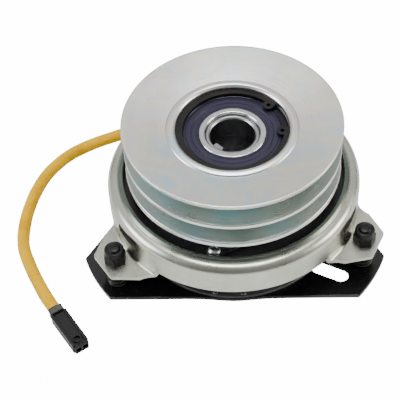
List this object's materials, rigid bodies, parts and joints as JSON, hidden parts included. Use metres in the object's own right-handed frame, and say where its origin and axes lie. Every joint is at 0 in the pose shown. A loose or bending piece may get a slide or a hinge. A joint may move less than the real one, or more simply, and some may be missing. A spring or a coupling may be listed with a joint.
{
  "type": "electromagnetic_clutch",
  "caption": "Electromagnetic clutch-brake with a two-groove zinc-plated V-belt pulley, stamped silver brake plate on a black field plate, and a yellow-sleeved lead",
  "frame": {"origin": "on the shaft axis, in the plane of the field plate's underside", "axes": "+Z along the shaft from the field plate towards the pulley; +X towards the side with the anti-rotation slot; the front edge of the plate faces -Y"},
  "size_m": [0.2449, 0.214, 0.0946],
  "materials": {
    "black_gloss": "gloss",
    "coil_steel": "satin",
    "nylon": "matte",
    "copper": "gloss",
    "potting": "matte",
    "bright_steel": "satin",
    "bearing_steel": "gloss",
    "cage_steel": "satin",
    "seal": "satin",
    "black_oxide": "satin",
    "hub_steel": "satin",
    "rotor_black": "satin",
    "lining": "matte",
    "spring_steel": "satin",
    "zinc": "satin",
    "silver_plate": "satin",
    "spring_dark": "satin",
    "black_plastic": "satin",
    "yellow_sleeve": "satin",
    "black_rubber": "matte",
    "tin": "satin"
  },
  "bodies": {
    "field": {"field_plate": "black_gloss", "field_shell": "coil_steel", "coil_bobbin": "nylon", "coil_winding": "copper", "coil_potting": "potting", "shell_rivets": "coil_steel", "field_bearing_outer_race": "bearing_steel", "field_bearing_seals": "seal", "adjusting_studs": "black_oxide", "brake_springs": "spring_dark", "lead_outlet": "black_plastic", "lead_sleeve": "yellow_sleeve", "connector_seal": "black_rubber", "connector_housing": "black_plastic", "connector_terminals": "tin"},
    "brake": {"brake_plate": "silver_plate", "brake_lining": "lining", "lock_nuts": "black_oxide", "nut_inserts": "black_plastic"},
    "rotor": {"rotor_hub": "hub_steel", "rotor_disc": "rotor_black", "rotor_lining": "lining", "field_bearing_inner_race": "bearing_steel", "hub_snap_ring": "black_oxide", "pulley_bearing_inner_race": "bearing_steel"},
    "pulley": {"pulley_sheave": "zinc", "pulley_hub": "zinc", "pulley_bearing_outer_race": "bearing_steel", "pulley_bearing_seals": "seal", "pulley_retaining_ring": "black_oxide", "leaf_springs": "spring_steel", "pulley_rivets": "bright_steel", "pulley_rim_lower": "zinc", "pulley_rim_middle": "zinc", "pulley_rim_upper": "zinc"},
    "armature": {"armature_plate": "rotor_black", "armature_rivets": "bright_steel", "leaf_washers": "bright_steel"},
    "pulley_bearing_cage_set": {"pulley_bearing_balls": "bearing_steel", "pulley_bearing_cage": "cage_steel"},
    "field_bearing_cage_set": {"field_bearing_balls": "bearing_steel", "field_bearing_cage": "cage_steel"}
  },
  "joints": [
    {"name": "rotor_spin", "type": "hinge", "parent": "field", "child": "rotor", "pos_m": [0, 0, 0.02], "axis": [0, 0, 1], "continuous": true},
    {"name": "pulley_spin", "type": "hinge", "parent": "rotor", "child": "pulley", "pos_m": [0, 0, 0.0764], "axis": [0, 0, 1], "continuous": true},
    {"name": "armature_slide", "type": "slide", "parent": "pulley", "child": "armature", "axis": [0, 0, -1], "range_m": [0, 0.00045], "stiffness_N_per_m": 8000, "springref_m": -0.0015, "deforming": ["leaf_springs"]},
    {"name": "pulley_bearing_cage_spin", "type": "hinge", "parent": "rotor", "child": "pulley_bearing_cage_set", "pos_m": [0, 0, 0.0764], "axis": [0, 0, 1], "continuous": true},
    {"name": "field_bearing_cage_spin", "type": "hinge", "parent": "field", "child": "field_bearing_cage_set", "pos_m": [0, 0, 0.013], "axis": [0, 0, 1], "continuous": true},
    {"name": "brake_adjust", "type": "slide", "parent": "field", "child": "brake", "axis": [0, 0, 1], "range_m": [0, 0.0005], "deforming": ["brake_springs"]}
  ],
  "couplings": [
    {"joint": "pulley_bearing_cage_spin", "follows": "pulley_spin", "ratio": 0.59346},
    {"joint": "field_bearing_cage_spin", "follows": "rotor_spin", "ratio": 0.41959}
  ]
}
